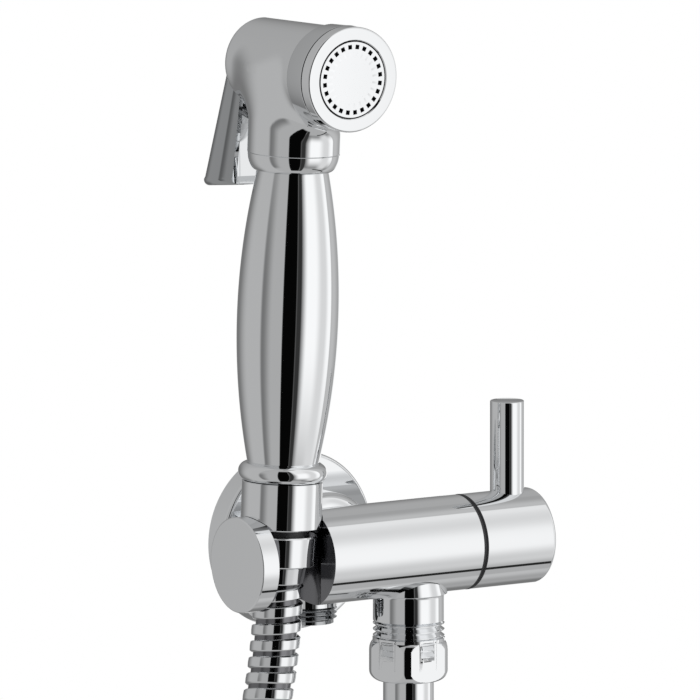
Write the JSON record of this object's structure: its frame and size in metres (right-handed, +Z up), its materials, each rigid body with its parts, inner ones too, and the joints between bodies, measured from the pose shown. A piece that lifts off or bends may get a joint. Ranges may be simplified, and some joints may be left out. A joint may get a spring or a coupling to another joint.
{
  "type": "bidet shower with tap",
  "caption": "Wall-mounted chrome bidet hand shower with trigger and ribbed hose, standing in a holder on its own quarter-turn tap with supply pipe and threaded hose outlet.",
  "frame": {"origin": "centre of the wall rosette's back, on the wall", "axes": "+Y into the wall, -Y towards the user, +Z up, +X to the right as seen from the front"},
  "size_m": [0.1698, 0.0967, 0.3813],
  "materials": {
    "chrome": "mirror-polished chrome plate",
    "hose_steel": "bright strip-wound steel",
    "brass": "machined",
    "steel": "turned stainless steel",
    "plate_steel": "bright stainless steel",
    "ceramic": "ground flat",
    "rubber": "matt black rubber",
    "black_plastic": "black nylon",
    "white_plastic": "white moulded plastic"
  },
  "bodies": {
    "stand": {"wall_plate": "steel", "wall_flange": "chrome", "arm_set_screw": "steel", "valve_body": "chrome", "seat_seal": "rubber", "fixed_disc": "ceramic", "cartridge_body": "brass", "cartridge_seal": "rubber", "joint_ring": "black_plastic", "compression_nut": "chrome", "olive": "brass", "supply_pipe": "chrome"},
    "tap": {"turning_disc": "ceramic", "spindle": "brass", "spindle_seal": "rubber", "retaining_clip": "steel", "tap_handle": "chrome", "lever_pin": "chrome", "handle_screw": "steel", "handle_cap": "chrome"},
    "handset": {"handset_tail": "black_plastic", "holder_sleeve": "chrome", "ring_collar": "chrome", "grip_shell": "chrome", "water_tube": "white_plastic", "neck_collar": "chrome", "head_body": "chrome", "cap_ring": "chrome", "face_ring": "chrome", "spray_plate": "plate_steel", "plate_seal": "rubber", "valve_cage": "brass", "stem_seal": "rubber", "valve_spring": "steel", "trigger_pin": "steel", "hose_washer": "rubber", "hose_insert": "brass", "hose_nut": "chrome", "hose_ferrule": "chrome", "hose_drop": "hose_steel", "hose_coil": "hose_steel", "coil_ties": "black_plastic", "far_ferrule": "chrome", "far_insert": "brass", "far_nut": "chrome", "far_washer": "rubber"},
    "trigger": {"trigger_lever": "chrome"},
    "plunger": {"valve_plunger": "brass", "plunger_seal": "rubber"}
  },
  "joints": [
    {"name": "tap_turn", "type": "hinge", "parent": "stand", "child": "tap", "pos_m": [0.0545, -0.036, 0], "axis": [1, 0, 0], "range_deg": [0, 90]},
    {"name": "handset_lift", "type": "slide", "parent": "stand", "child": "handset", "axis": [0.0419, 0, 0.9991], "range_m": [0, 0.0155]},
    {"name": "trigger_press", "type": "hinge", "parent": "handset", "child": "trigger", "pos_m": [-0.01936, -0.0205, 0.13688], "axis": [-0.9991, 0, 0.0419], "range_deg": [0, 10], "stiffness_Nm_per_rad": 0.3, "springref_deg": -11.46},
    {"name": "plunger_push", "type": "slide", "parent": "handset", "child": "plunger", "axis": [0, -1, 0], "range_m": [0, 0.0017], "deforming": ["valve_spring"]}
  ],
  "couplings": [
    {"joint": "plunger_push", "follows": "trigger_press", "m_per_rad": 0.009575}
  ]
}
